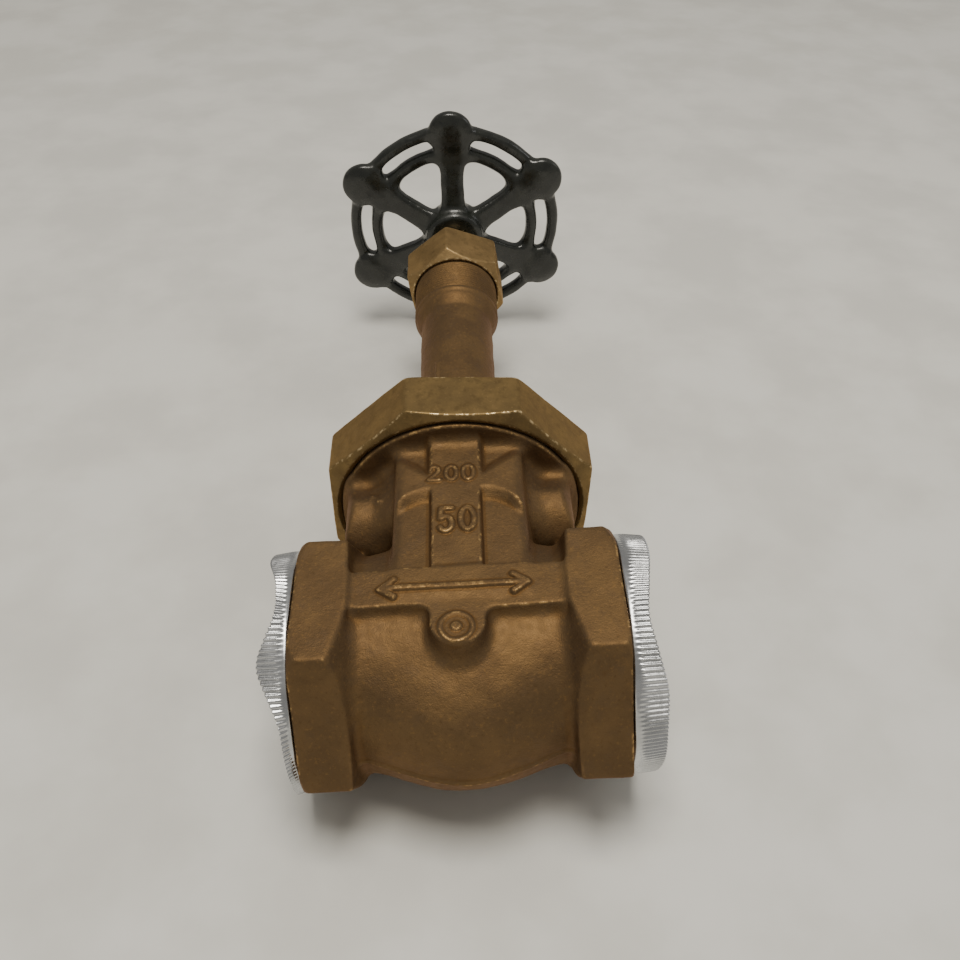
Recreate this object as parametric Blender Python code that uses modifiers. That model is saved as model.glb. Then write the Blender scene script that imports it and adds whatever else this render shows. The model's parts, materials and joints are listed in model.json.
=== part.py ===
"""Bronze gate valve for a 2-inch (DN50) water line, lying on its side as a full assembly.

Every piece is built in the valve's own axes: X along the flow, Y along the stem away from the body,
Z towards the side that carries the cast marks. One empty then rolls and leans the assembly until a flat
of its union ring and the lowest lobe of its handwheel lie on Z = 0. Sizes are in millimetres until they
reach a mesh.
"""

import math

import bmesh
import bpy
from mathutils import Matrix, Vector

MM = 0.001
GAP = 0.3  # left between pieces that touch

# Flow line
BORE_R = 25.4
HEX_FLATS = 71.0
HEX_CORNER_R = HEX_FLATS / math.sqrt(3)
END_FACE = 46.5  # from the stem axis to each end face
HEX_WIDTH = 15.5
PORT_R = 29.2
SOCKET_R = 28.5
SOCKET_DEPTH = 20.0

# Body
FLOW_TUBE_R = 31.2
BELLY_RADII = (33.5, 41.2, 33.0)
NECK_R = 33.5
COLLAR_R = 41.0
COLLAR_FRONT = 60.6
BODY_TOP = 70.2
FACE_HALF_WIDTH = 19.8  # flat face on the neck that carries the marks
FACE_HEIGHT = 34.6
BAND_HALF_WIDTH = 30.5
BAND_HEIGHT = 33.2
BAND_LOW, BAND_HIGH = -5.0, 8.0
CHAMBER_HALF_WIDTH = 14.2
CHAMBER_DEPTH = 29.0
CHAMBER_FLOOR_R = 29.6
CHAMBER_FLOOR_HALF_WIDTH = 13.3
NECK_BORE_R = 30.0

# Seats and wedge
WEDGE_ANGLE = math.radians(5)
SEAT_FACE = 10.7  # from the centre plane to the seat, on the flow axis
SEAT_RING_R = SOCKET_R - GAP
SEAT_RING_END = 22.0
DISC_R = 26.8
GUIDE_HALF_WIDTH = 3.0
GUIDE_REACH = 28.3
BOSS_R = 10.4
BOSS_TOP = 40.0
T_HEAD_R = 7.6
T_HEAD_LOW, T_HEAD_HIGH = 29.4, 34.0
T_NECK_R = 4.7

# Union ring and bonnet
RING_FLATS = 89.3
RING_FRONT, RING_BACK = 60.8, 80.4
RING_FRONT_SLOPE = 0.45  # the front face falls back by this much for each millimetre outwards
RING_TURN = math.radians(-4)  # where the tightened ring stopped
RING_LIP = 75.8
RING_LIP_R = 31.6
RING_BORE_R = COLLAR_R + GAP
RING_MOUTH_R = RING_BORE_R + 0.8
RING_FLAT_FRONT = RING_FRONT + RING_FRONT_SLOPE * (RING_FLATS / 2 - RING_MOUTH_R)
FLANGE_R = 38.0
GASKET_THICKNESS = 0.8
FLANGE_LOW = BODY_TOP + GAP + GASKET_THICKNESS + GAP
BONNET_NECK_R = 14.5
STUFFING_THREAD_R = 17.6
STUFFING_LOW = 168.6
BONNET_TOP = 199.0
STUFFING_FLOOR = 176.3
STUFFING_R = 12.0

# Packing, gland and packing nut
PACKING_COUNT = 5
PACKING_THICKNESS = 3.4
NUT_FLATS = 39.0
NUT_FRONT, NUT_BACK = 186.6, 206.4
NUT_TURN = math.radians(7)
NUT_ROOF = 201.5

# Stem travel: eight turns of a 6.35 mm lead, three of them already made at rest
LEAD = 6.35
TURNS_FROM_CLOSED = 3
LIFT = LEAD * TURNS_FROM_CLOSED + 0.05
STEM_THREAD_R = 9.3
STEM_R = 7.5
STEM_THREAD_LOW, STEM_THREAD_HIGH = 42.0, 118.0  # with the valve closed

# Handwheel
WHEEL_PLANE = 244.0
WHEEL_TURN = math.radians(-1.6)
LOBES = 6
LOBE_CIRCLE_R = 47.0
LOBE_R = 9.9
LOBE_MIDDLE = 242.3
LOBE_HALF_HEIGHT = 4.2
LOBE_ROUNDING = 2.0
RIM_R, INNER_RING_R = 46.8, 36.7
RIM_HALF_WIDTH, RIM_HALF_HEIGHT = 2.7, 2.9
SPOKE_HALF_WIDTH, SPOKE_HALF_HEIGHT = 5.1, 3.3
HUB_R = 14.0
HUB_LOW, HUB_HIGH = 229.0, 243.0
HUB_MIDDLE = 235.0
SQUARE = 10.0
TIP_R = 4.6
STEM_TIP = 254.0
PLATE_R, PLATE_THICKNESS = 12.0, 0.8
WASHER_R, WASHER_THICKNESS = 8.5, 1.5
WHEEL_NUT_FLATS, WHEEL_NUT_HEIGHT = 14.3, 7.0

# End protectors, pressed from sheet
CAP_SHEET = 0.8
CAP_OUTLINE = (
    (0.0, 41.6), (26.6, 41.6), (27.5, 46.9), (28.9, 48.4), (30.3, 49.0), (34.9, 49.1), (35.7, 50.3),
    (36.0, 56.4),
)

COLOURS = {  # base colour, metallic, roughness
    "cast_bronze": ((0.30, 0.17, 0.07), 0.9, 0.45),
    "machined_bronze": ((0.40, 0.26, 0.11), 1.0, 0.35),
    "seat_bronze": ((0.45, 0.30, 0.14), 1.0, 0.30),
    "stem_bronze": ((0.50, 0.36, 0.18), 1.0, 0.25),
    "black_enamel": ((0.015, 0.016, 0.015), 0.0, 0.25),
    "pressed_aluminium": ((0.75, 0.76, 0.78), 1.0, 0.28),
    "packing": ((0.06, 0.06, 0.06), 0.0, 0.80),
    "gasket": ((0.16, 0.17, 0.16), 0.0, 0.80),
    "plated_steel": ((0.55, 0.55, 0.53), 1.0, 0.35),
}

ALONG_STEM = Matrix.Rotation(math.radians(-90), 4, "X")  # local Z becomes the stem axis
ALONG_FLOW = Matrix.Rotation(math.radians(90), 4, "Y")  # local Z becomes +X
AGAINST_FLOW = Matrix.Rotation(math.radians(-90), 4, "Y")  # local Z becomes -X
UNTURNED = Matrix.Identity(4)
LIFTED = Matrix.Translation((0, LIFT * MM, 0))  # from the closed place to the place at rest


def clear_scene():
    for item in list(bpy.data.objects):
        bpy.data.objects.remove(item)


def make_material(name):
    colour, metallic, roughness = COLOURS[name]
    material = bpy.data.materials.new(name)
    material.use_nodes = True
    shader = material.node_tree.nodes["Principled BSDF"]
    shader.inputs["Base Color"].default_value = (*colour, 1)
    shader.inputs["Metallic"].default_value = metallic
    shader.inputs["Roughness"].default_value = roughness
    return material


def add_object(name, mesh, placing, material=None):
    """A part when it has a material, otherwise a hidden tool for a Boolean."""
    item = bpy.data.objects.new(name, mesh)
    item.parent = valve_axes
    item.matrix_local = placing
    if material:
        mesh.materials.append(materials[material])
        parts.objects.link(item)
    else:
        cutters.objects.link(item)
        item.hide_render = True
        item.display_type = "WIRE"
    return item


def turned(name, profile, placing=ALONG_STEM, material=None, closed=True, steps=36):
    """A profile of (radius, height) turned about local Z. It runs down its outer side."""
    mesh = bpy.data.meshes.new(name)
    count = len(profile)
    edges = [(i, i + 1) for i in range(count - 1)]
    if closed:
        edges.append((count - 1, 0))
    mesh.from_pydata([(r * MM, 0, h * MM) for r, h in profile], edges, [])
    item = add_object(name, mesh, placing, material)
    screw = item.modifiers.new("turn", "SCREW")
    screw.steps = screw.render_steps = steps
    screw.use_merge_vertices = True
    screw.merge_threshold = 0.00001
    screw.use_smooth_shade = True
    return item


def ring_profile(inner, outer, low, high):
    return [(outer, high), (outer, low), (inner, low), (inner, high)]


def rod_profile(radius, low, high):
    return [(0, high), (radius, high), (radius, low), (0, low)]


def round_section(centre_r, centre_h, half_width, half_height, corners=8):
    """An oval ring section, starting at its top and running down its outer side."""
    angles = [math.pi / 2 - 2 * math.pi * i / corners for i in range(corners)]
    return [(centre_r + half_width * math.cos(a), centre_h + half_height * math.sin(a)) for a in angles]


def mesh_from(bm, name):
    mesh = bpy.data.meshes.new(name)
    bm.to_mesh(mesh)
    bm.free()
    return mesh


def prism(name, sides, across_flats, low, high, turn=0.0, placing=ALONG_STEM, material=None):
    """A regular prism along local Z. With no turn, a flat faces local +Y and -Y."""
    radius = across_flats / 2 / math.cos(math.pi / sides)
    bm = bmesh.new()
    bmesh.ops.create_cone(
        bm, cap_ends=True, segments=sides, radius1=radius * MM, radius2=radius * MM, depth=(high - low) * MM
    )
    flat_up = Matrix.Rotation(turn + math.pi / sides, 4, "Z")
    bm.transform(Matrix.Translation((0, 0, (low + high) / 2 * MM)) @ flat_up)
    return add_object(name, mesh_from(bm, name), placing, material)


def block(name, low, high, placing=UNTURNED):
    """A box between two corners in the valve's own axes."""
    low, high = Vector(low) * MM, Vector(high) * MM
    bm = bmesh.new()
    bmesh.ops.create_cube(bm, size=1)
    size = Matrix.Diagonal((*(high - low), 1))
    bm.transform(Matrix.Translation((low + high) / 2) @ size)
    return add_object(name, mesh_from(bm, name), placing)


def ball(name, centre, radii, columns=20, rows=12):
    bm = bmesh.new()
    bmesh.ops.create_uvsphere(bm, u_segments=columns, v_segments=rows, radius=MM)
    bm.transform(Matrix.Translation(Vector(centre) * MM) @ Matrix.Diagonal((*radii, 1)))
    return add_object(name, mesh_from(bm, name), UNTURNED)


def combine(target, operation, *tools):
    for tool in tools:
        boolean = target.modifiers.new(tool.name, "BOOLEAN")
        boolean.operation = operation
        boolean.solver = "EXACT"
        boolean.object = tool
    return target


def wedge_block(name, half_thickness, reach, placing=UNTURNED):
    """A block whose two flow faces close towards the bottom at the wedge angle."""
    item = block(name, (-half_thickness, -reach, -reach), (half_thickness, reach, reach), placing)
    for vertex in item.data.vertices:
        side = math.copysign(1, vertex.co.x)
        vertex.co.x += side * vertex.co.y * math.tan(WEDGE_ANGLE)
    return item


def build_hex_end(side):
    """One hexagonal end, its corners dressed on both edges."""
    placing = ALONG_FLOW if side > 0 else AGAINST_FLOW
    inner = END_FACE - HEX_WIDTH
    name = "hex_end_right" if side > 0 else "hex_end_left"
    # local X lies along the valve's Z here, so a sixth of a turn's half puts the flats on top
    end = prism(name, 6, HEX_FLATS, inner, END_FACE, turn=math.radians(90), placing=placing)
    drum = turned(
        name + "_dressing",
        [
            (0, END_FACE + 0.5), (HEX_CORNER_R - 3.4, END_FACE + 0.5), (HEX_CORNER_R + 0.6, END_FACE - 2.4),
            (HEX_CORNER_R + 0.6, inner + 2.2), (HEX_CORNER_R - 6.0, inner - 0.5), (0, inner - 0.5),
        ],
        placing=placing,
        closed=False,
        steps=36,
    )
    return combine(end, "INTERSECT", drum)


def build_body():
    neck = [
        (0, BODY_TOP), (COLLAR_R, BODY_TOP), (COLLAR_R, COLLAR_FRONT), (COLLAR_R - 1.8, COLLAR_FRONT - 1.2),
        (NECK_R + 2.2, 56), (NECK_R, 48), (NECK_R, 34), (NECK_R - 3.5, 27), (NECK_R - 13, 22), (0, 22),
    ]
    body = turned("body_casting", neck, material="cast_bronze", closed=False)
    flow_tube = turned("flow_tube", rod_profile(FLOW_TUBE_R, -34, 34), placing=ALONG_FLOW, closed=False)
    belly = ball("belly", (0, 0, 0), BELLY_RADII)
    marked_face = block(
        "marked_face", (-FACE_HALF_WIDTH, -1, -FACE_HEIGHT), (FACE_HALF_WIDTH, 58, FACE_HEIGHT)
    )
    band = block(
        "band", (-BAND_HALF_WIDTH, BAND_LOW, -BAND_HEIGHT), (BAND_HALF_WIDTH, BAND_HIGH, BAND_HEIGHT)
    )
    shoulders = block("shoulders", (-36, 34, -19), (36, 62, 19))
    combine(body, "UNION", flow_tube, belly, band, shoulders, marked_face)
    combine(body, "UNION", build_hex_end(-1), build_hex_end(1))

    socket = END_FACE - SOCKET_DEPTH
    right_half = [(0, END_FACE + 1), (PORT_R + 2.2, END_FACE + 1), (PORT_R, END_FACE - 1.4), (PORT_R, socket),
                  (SOCKET_R, socket - 1)]
    flow_way = turned(
        "flow_way",
        right_half + [(r, -h) for r, h in reversed(right_half)],
        placing=ALONG_FLOW,
        closed=False,
    )
    chamber_floor = turned(
        "chamber_floor",
        rod_profile(CHAMBER_FLOOR_R, -CHAMBER_FLOOR_HALF_WIDTH, CHAMBER_FLOOR_HALF_WIDTH),
        placing=ALONG_FLOW,
        closed=False,
    )
    chamber = block(
        "chamber",
        (-CHAMBER_HALF_WIDTH, 2, -CHAMBER_DEPTH),
        (CHAMBER_HALF_WIDTH, 56, CHAMBER_DEPTH),
    )
    neck_bore = turned("neck_bore", rod_profile(NECK_BORE_R, 51.3, BODY_TOP + 1), closed=False)
    combine(body, "DIFFERENCE", flow_way, chamber_floor, chamber, neck_bore)


def build_seats():
    wedge_space = wedge_block("wedge_space", SEAT_FACE, 40)
    for name, placing in (("seat_ring_left", AGAINST_FLOW), ("seat_ring_right", ALONG_FLOW)):
        profile = ring_profile(BORE_R, SEAT_RING_R, SEAT_FACE - 4, SEAT_RING_END)
        seat = turned(name, profile, placing=placing, material="seat_bronze")
        combine(seat, "DIFFERENCE", wedge_space)


def build_wedge():
    disc = turned("wedge_disc", rod_profile(DISC_R, -16, 16), placing=LIFTED @ ALONG_FLOW,
                  material="seat_bronze", closed=False)
    faces = wedge_block("wedge_faces", SEAT_FACE - GAP, 40, LIFTED)
    guides = block("wedge_guides", (-GUIDE_HALF_WIDTH, -5, -GUIDE_REACH), (GUIDE_HALF_WIDTH, 15, GUIDE_REACH),
                   LIFTED)
    boss = turned("wedge_boss", rod_profile(BOSS_R, 18, BOSS_TOP), placing=LIFTED @ ALONG_STEM,
                  closed=False, steps=32)
    head_half = T_HEAD_R + 0.4
    neck_half = T_NECK_R + 0.4
    t_slot = block("t_slot", (-15, T_HEAD_LOW - 0.4, -head_half), (15, T_HEAD_HIGH + 0.4, head_half),
                   LIFTED)
    neck_slot = block("t_slot_neck", (-15, T_HEAD_HIGH, -neck_half), (15, BOSS_TOP + 1, neck_half), LIFTED)
    combine(disc, "INTERSECT", faces)
    combine(disc, "UNION", guides, boss)
    combine(disc, "DIFFERENCE", combine(t_slot, "UNION", neck_slot))


def build_bonnet():
    profile = [
        (STUFFING_THREAD_R, BONNET_TOP), (STUFFING_THREAD_R, STUFFING_LOW), (16.9, STUFFING_LOW - 0.6),
        (16.3, 164), (BONNET_NECK_R + 0.2, 158), (BONNET_NECK_R, 104), (16.5, 97), (22, 90.5), (28, 86),
        (RING_LIP_R - 0.5, 80.5), (RING_LIP_R - 0.5, RING_LIP - GAP), (FLANGE_R, RING_LIP - GAP),
        (FLANGE_R, FLANGE_LOW), (26, FLANGE_LOW), (26, 75.5), (22.5, 79.5), (11.2, 86.5), (11.2, 92.5),
        (9.7, 93.5), (9.7, 118), (10.1, 119), (10.1, 172), (STEM_R + GAP, 173),
        (STEM_R + GAP, STUFFING_FLOOR), (STUFFING_R, STUFFING_FLOOR), (STUFFING_R, BONNET_TOP),
    ]
    turned("bonnet", profile, material="cast_bronze", steps=32)
    gasket_low = BODY_TOP + GAP
    gasket = ring_profile(NECK_BORE_R + 0.6, FLANGE_R - 0.5, gasket_low, gasket_low + GASKET_THICKNESS)
    turned("bonnet_gasket", gasket, material="gasket")


def build_bonnet_ring():
    corner = RING_FLATS / 2 / math.cos(math.pi / 8)
    ring = prism("bonnet_ring", 8, RING_FLATS, RING_FRONT - 1, RING_BACK, turn=-RING_TURN,
                 material="machined_bronze")
    inside = turned(
        "ring_inside",
        [
            (corner - 0.7, RING_BACK + 0.2), (corner + 1, RING_BACK - 1.5),
            (corner + 1, RING_FRONT + RING_FRONT_SLOPE * (corner + 1 - RING_MOUTH_R)),
            (RING_MOUTH_R, RING_FRONT), (RING_BORE_R, RING_FRONT + 0.8), (RING_BORE_R, RING_LIP),
            (RING_LIP_R, RING_LIP), (RING_LIP_R, RING_BACK + 0.2),
        ],
    )
    combine(ring, "INTERSECT", inside)


def build_packing():
    pitch = PACKING_THICKNESS + GAP
    for i in range(PACKING_COUNT):
        low = STUFFING_FLOOR + GAP + i * pitch
        profile = ring_profile(STEM_R + GAP, STUFFING_R - GAP, low, low + PACKING_THICKNESS)
        turned(f"packing_ring_{i + 1}", profile, material="packing", steps=24)
    gland_low = STUFFING_FLOOR + GAP + PACKING_COUNT * pitch
    flange_low, flange_high = BONNET_TOP + GAP, NUT_ROOF - GAP
    gland = [
        (14, flange_high), (14, flange_low), (STUFFING_R - GAP, flange_low), (STUFFING_R - GAP, gland_low),
        (STEM_R + GAP, gland_low), (STEM_R + GAP, flange_high),
    ]
    turned("packing_gland", gland, material="seat_bronze", steps=32)


def build_packing_nut():
    nut = prism("packing_nut", 6, NUT_FLATS, NUT_FRONT, NUT_BACK, turn=math.radians(30) - NUT_TURN,
                material="machined_bronze")
    thread_r = STUFFING_THREAD_R + GAP
    inside = turned(
        "nut_inside",
        [
            (20.2, NUT_BACK + 0.2), (23.5, NUT_BACK - 2), (23.5, NUT_FRONT + 4.6), (18.8, NUT_FRONT - 0.2),
            (thread_r + 0.6, NUT_FRONT - 0.2), (thread_r, NUT_FRONT + 0.6), (thread_r, NUT_ROOF),
            (STEM_R + 0.5, NUT_ROOF), (STEM_R + 0.5, NUT_BACK + 0.2),
        ],
        steps=36,
    )
    combine(nut, "INTERSECT", inside)


def build_stem():
    square_low, square_high = HUB_LOW - 0.5, HUB_HIGH - 0.5
    lower = [
        (T_HEAD_R, T_HEAD_HIGH), (T_HEAD_R, T_HEAD_LOW), (0, T_HEAD_LOW),
    ]
    upper = [
        (0, STEM_TIP - LIFT), (TIP_R - 0.8, STEM_TIP - LIFT), (TIP_R, STEM_TIP - LIFT - 0.8),
        (TIP_R, square_low - LIFT), (STEM_R, square_low - LIFT), (STEM_R, STEM_THREAD_HIGH + 2),
        (STEM_THREAD_R, STEM_THREAD_HIGH), (STEM_THREAD_R, STEM_THREAD_LOW + 1),
        (STEM_THREAD_R - 1, STEM_THREAD_LOW), (T_NECK_R, STEM_THREAD_LOW), (T_NECK_R, T_HEAD_HIGH),
    ]
    stem = turned("stem", upper + lower, placing=LIFTED @ ALONG_STEM, material="stem_bronze", closed=False,
                  steps=32)
    half = SQUARE / 2
    square = block("stem_square", (-half, square_low - 1, -half), (half, square_high, half))
    combine(stem, "UNION", square)


def build_spoke(angle):
    """A flattened bar from inside the hub to under the lobe, rising towards the rim."""
    start = Vector((HUB_R - 8, HUB_MIDDLE)) * MM
    end = Vector((LOBE_CIRCLE_R - 4, WHEEL_PLANE)) * MM
    along = end - start
    bm = bmesh.new()
    bmesh.ops.create_cone(bm, cap_ends=True, segments=8, radius1=MM, radius2=MM, depth=along.length)
    bm.transform(Matrix.Diagonal((SPOKE_HALF_WIDTH, SPOKE_HALF_HEIGHT, 1, 1)))
    # The bar's length runs outwards (X) and its height along the stem (Y) before it is turned in place.
    outward = Vector((along.x, along.y, 0)).normalized()
    across = Vector((0, 0, 1))
    axes = Matrix((across, outward.cross(across), outward)).transposed().to_4x4()
    middle = Matrix.Translation(((start.x + end.x) / 2, (start.y + end.y) / 2, 0))
    name = f"spoke_{round(math.degrees(angle))}"
    spin = Matrix.Rotation(-angle, 4, "Y")
    return add_object(name, mesh_from(bm, name), spin @ middle @ axes)


def build_handwheel():
    wheel = turned(
        "handwheel",
        round_section(RIM_R, WHEEL_PLANE, RIM_HALF_WIDTH, RIM_HALF_HEIGHT),
        material="black_enamel",
        steps=36,
    )
    inner = turned(
        "inner_ring",
        round_section(INNER_RING_R, WHEEL_PLANE - 0.2, RIM_HALF_WIDTH, RIM_HALF_HEIGHT),
        steps=36,
    )
    hub = turned(
        "hub",
        [(0, HUB_HIGH), (HUB_R - 2, HUB_HIGH), (HUB_R, HUB_HIGH - 2), (HUB_R, HUB_LOW + 2),
         (HUB_R - 2, HUB_LOW), (0, HUB_LOW)],
        closed=False,
        steps=32,
    )
    combine(wheel, "UNION", inner, hub)
    top, bottom = LOBE_MIDDLE + LOBE_HALF_HEIGHT, LOBE_MIDDLE - LOBE_HALF_HEIGHT
    drum = [
        (0, top), (LOBE_R - LOBE_ROUNDING, top), (LOBE_R, top - LOBE_ROUNDING),
        (LOBE_R, bottom + LOBE_ROUNDING), (LOBE_R - LOBE_ROUNDING, bottom), (0, bottom),
    ]
    for i in range(LOBES):
        angle = math.pi / 2 + WHEEL_TURN + i * math.tau / LOBES
        place = (LOBE_CIRCLE_R * math.cos(angle) * MM, 0, LOBE_CIRCLE_R * math.sin(angle) * MM)
        lobe = turned(f"lobe_{i + 1}", drum, placing=Matrix.Translation(place) @ ALONG_STEM, closed=False,
                      steps=20)
        combine(wheel, "UNION", build_spoke(angle), lobe)
    half = SQUARE / 2 + GAP
    hole = block("hub_square", (-half, HUB_LOW - 2, -half), (half, HUB_HIGH + 2, half))
    combine(wheel, "DIFFERENCE", hole)


def build_wheel_fastening():
    bore = TIP_R + GAP
    plate_low = HUB_HIGH + GAP
    washer_low = plate_low + PLATE_THICKNESS + GAP
    nut_low = washer_low + WASHER_THICKNESS + GAP
    turned("handwheel_plate", ring_profile(bore, PLATE_R, plate_low, plate_low + PLATE_THICKNESS),
           material="pressed_aluminium", steps=32)
    turned("handwheel_washer", ring_profile(bore, WASHER_R, washer_low, washer_low + WASHER_THICKNESS),
           material="plated_steel", steps=32)
    nut = prism("handwheel_nut", 6, WHEEL_NUT_FLATS, nut_low, nut_low + WHEEL_NUT_HEIGHT,
                turn=math.radians(11), material="plated_steel")
    corner = WHEEL_NUT_FLATS / math.sqrt(3)
    top = nut_low + WHEEL_NUT_HEIGHT
    inside = turned(
        "wheel_nut_inside",
        [(corner - 0.9, top + 0.1), (corner + 0.2, top - 0.7), (corner + 0.2, nut_low - 0.2),
         (bore, nut_low - 0.2), (bore, top + 0.1)],
        steps=32,
    )
    combine(nut, "INTERSECT", inside)


def build_port_caps():
    for name, placing in (("port_cap_left", AGAINST_FLOW), ("port_cap_right", ALONG_FLOW)):
        cap = turned(name, CAP_OUTLINE, placing=placing, material="pressed_aluminium", closed=False, steps=32)
        sheet = cap.modifiers.new("sheet", "SOLIDIFY")
        sheet.thickness = CAP_SHEET * MM
        sheet.offset = 0
        sheet.use_even_offset = True


def lying_lean():
    """The stem's rise above level once a flat of the union ring and the lowest lobe are on the ground."""
    lobe_from_down = WHEEL_TURN - RING_TURN
    ring_drop = RING_FLATS / 2
    lobe_drop = LOBE_CIRCLE_R * math.cos(lobe_from_down) + LOBE_R
    lobe_edge = LOBE_MIDDLE - LOBE_HALF_HEIGHT + LOBE_ROUNDING
    return math.atan2(lobe_drop - ring_drop, lobe_edge - RING_FLAT_FRONT)


def lay_down():
    """Rolls and leans the valve, sets its lowest point on Z = 0 and centres its outline on the origin."""
    level_the_ring = Matrix.Rotation(RING_TURN, 4, "Y")
    valve_axes.matrix_world = Matrix.Rotation(lying_lean(), 4, "X") @ level_the_ring
    bpy.context.view_layer.update()
    graph = bpy.context.evaluated_depsgraph_get()
    corners = []
    for item in parts.objects:
        solid = item.evaluated_get(graph)
        corners += [solid.matrix_world @ vertex.co for vertex in solid.data.vertices]
    low = [min(c[i] for c in corners) for i in range(3)]
    high = [max(c[i] for c in corners) for i in range(3)]
    middle = Vector(((low[0] + high[0]) / 2, (low[1] + high[1]) / 2, low[2]))
    valve_axes.matrix_world = Matrix.Translation(-middle) @ valve_axes.matrix_world


clear_scene()
parts = bpy.data.collections.new("water_shutoff_valve")
cutters = bpy.data.collections.new("cutters")
for collection in (parts, cutters):
    bpy.context.scene.collection.children.link(collection)
materials = {name: make_material(name) for name in COLOURS}
valve_axes = bpy.data.objects.new("valve_axes", None)
bpy.context.scene.collection.objects.link(valve_axes)

build_body()
build_seats()
build_wedge()
build_bonnet()
build_bonnet_ring()
build_packing()
build_packing_nut()
build_stem()
build_handwheel()
build_wheel_fastening()
build_port_caps()
lay_down()
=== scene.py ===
"""Final shapes, materials, light and camera for the bronze gate valve.

Shapes are worked out in the valve's own axes, in millimetres: x along the flow, s along the stem away
from the body, n towards the side with the cast marks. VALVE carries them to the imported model's frame.
Cast and forged pieces are distance fields (negative inside) meshed here; turned pieces are lathed.
"""

import json
import math

import bmesh
import bpy
import numpy as np
from mathutils import Matrix, Vector


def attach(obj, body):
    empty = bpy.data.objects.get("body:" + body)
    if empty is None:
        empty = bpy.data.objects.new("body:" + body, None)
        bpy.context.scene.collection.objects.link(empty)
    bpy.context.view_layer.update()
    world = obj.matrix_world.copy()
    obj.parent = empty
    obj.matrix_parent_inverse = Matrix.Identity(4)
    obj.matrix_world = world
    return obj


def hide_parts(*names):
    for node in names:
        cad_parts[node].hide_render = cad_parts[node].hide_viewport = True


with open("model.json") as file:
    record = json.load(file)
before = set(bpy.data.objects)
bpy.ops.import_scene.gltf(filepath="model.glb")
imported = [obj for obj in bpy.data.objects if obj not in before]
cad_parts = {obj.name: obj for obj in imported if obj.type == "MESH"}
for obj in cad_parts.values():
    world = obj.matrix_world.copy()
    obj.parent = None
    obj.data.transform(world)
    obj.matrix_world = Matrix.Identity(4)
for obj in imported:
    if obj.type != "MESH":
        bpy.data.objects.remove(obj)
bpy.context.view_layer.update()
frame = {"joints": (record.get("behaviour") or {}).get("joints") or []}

MM = 0.001
TAU = math.tau
COARSE = 1.0

# Flow line and body
BORE_R = 25.4
HEX_INRADIUS = 35.5
END_FACE = 46.5
SOCKET_DEPTH = 20.0
PORT_R, SOCKET_R = 29.0, 28.4
FLOW_TUBE_R = 30.8
BELLY_R, BELLY_DEPTH, TUBE_DEPTH = 31.2, 40.1, 31.8  # depths are measured away from the stem
BELLY_CREST, BELLY_TOP_DEPTH, BELLY_REACH = 7.0, 34.0, 29.5
HEX_DEPTH = 15.5
NECK_R = 32.2
COLLAR_R, COLLAR_FRONT, BODY_TOP = 40.9, 60.6, 70.2
WING_HALF_THICKNESS, WING_REACH, WING_FOOT = 20.8, 37.6, 20.0
FACE_MIDDLE, FACE_HALF_WIDTH, FACE_HEIGHT = 1.0, 19.9, 34.2
FACE_LOW, FACE_HIGH = -1.0, 61.0
BAND_HALF_WIDTH, BAND_LOW, BAND_HIGH = 30.5, -4.2, 8.6
STRIP_HALF_WIDTH = 7.1
TONGUE_END, TONGUE_R = -17.2, 7.6
BOSS_CENTRE, BOSS_R = -11.4, 5.2
PIPE_PITCH = 25.4 / 11.5

# Wedge and seats
WEDGE_SLOPE = math.tan(math.radians(5))
SEAT_FACE, SEAT_RING_R, SEAT_RING_END = 10.7, 28.2, 22.0
DISC_R, GUIDE_HALF_WIDTH, GUIDE_REACH = 26.8, 3.0, 28.3
WEDGE_BOSS_R, WEDGE_BOSS_TOP = 10.4, 40.0
T_HEAD_R, T_HEAD_LOW, T_HEAD_HIGH, T_NECK_R = 7.6, 29.4, 34.0, 4.7
LEAD = 6.35
LIFT = 3 * LEAD + 0.05

# Union ring, bonnet, packing and packing nut
RING_FLATS, RING_FRONT, RING_BACK, RING_TURN = 89.16, 60.8, 80.4, math.radians(-4)
RING_LIP, RING_LIP_R, RING_BORE_R = 75.8, 31.6, 41.15
FLANGE_R, FLANGE_LOW = 38.0, 71.6
BONNET_NECK_R, STUFFING_THREAD_R, STUFFING_LOW = 14.5, 17.6, 168.6
BONNET_TOP, STUFFING_FLOOR, STUFFING_R = 199.0, 176.3, 12.0
STUFFING_PITCH = 1.5
NUT_FLATS, NUT_FRONT, NUT_BACK, NUT_TURN, NUT_ROOF = 39.0, 186.6, 207.2, math.radians(7), 201.5
STEM_R, STEM_THREAD_R = 7.5, 9.3

# Handwheel
WHEEL_PLANE, WHEEL_TURN, LOBES = 244.0, math.radians(-1.6), 6
LOBE_CIRCLE_R, LOBE_R, LOBE_HALF_HEIGHT, LOBE_SINK = 47.0, 9.8, 4.2, 1.7
RIM_R, INNER_RING_R = 46.8, 36.7
HUB_R, HUB_LOW, HUB_HIGH, HUB_MIDDLE = 14.0, 229.0, 243.0, 235.0
ARM_HALF_WIDTH, ARM_HALF_HEIGHT = 5.2, 3.1
NUT_LOW, NUT_HIGH = 246.2, 253.2
SQUARE, TIP_R, STEM_TIP = 10.0, 4.6, 254.0

# Camera and light
CAMERA_PLACE = (11.8, -162.1, 252.5)
CAMERA_TARGET = (7.1, 74.9, 0.0)
CAMERA_ROLL = math.radians(-3.96)
FIELD_OF_VIEW = math.radians(52.98)

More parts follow.
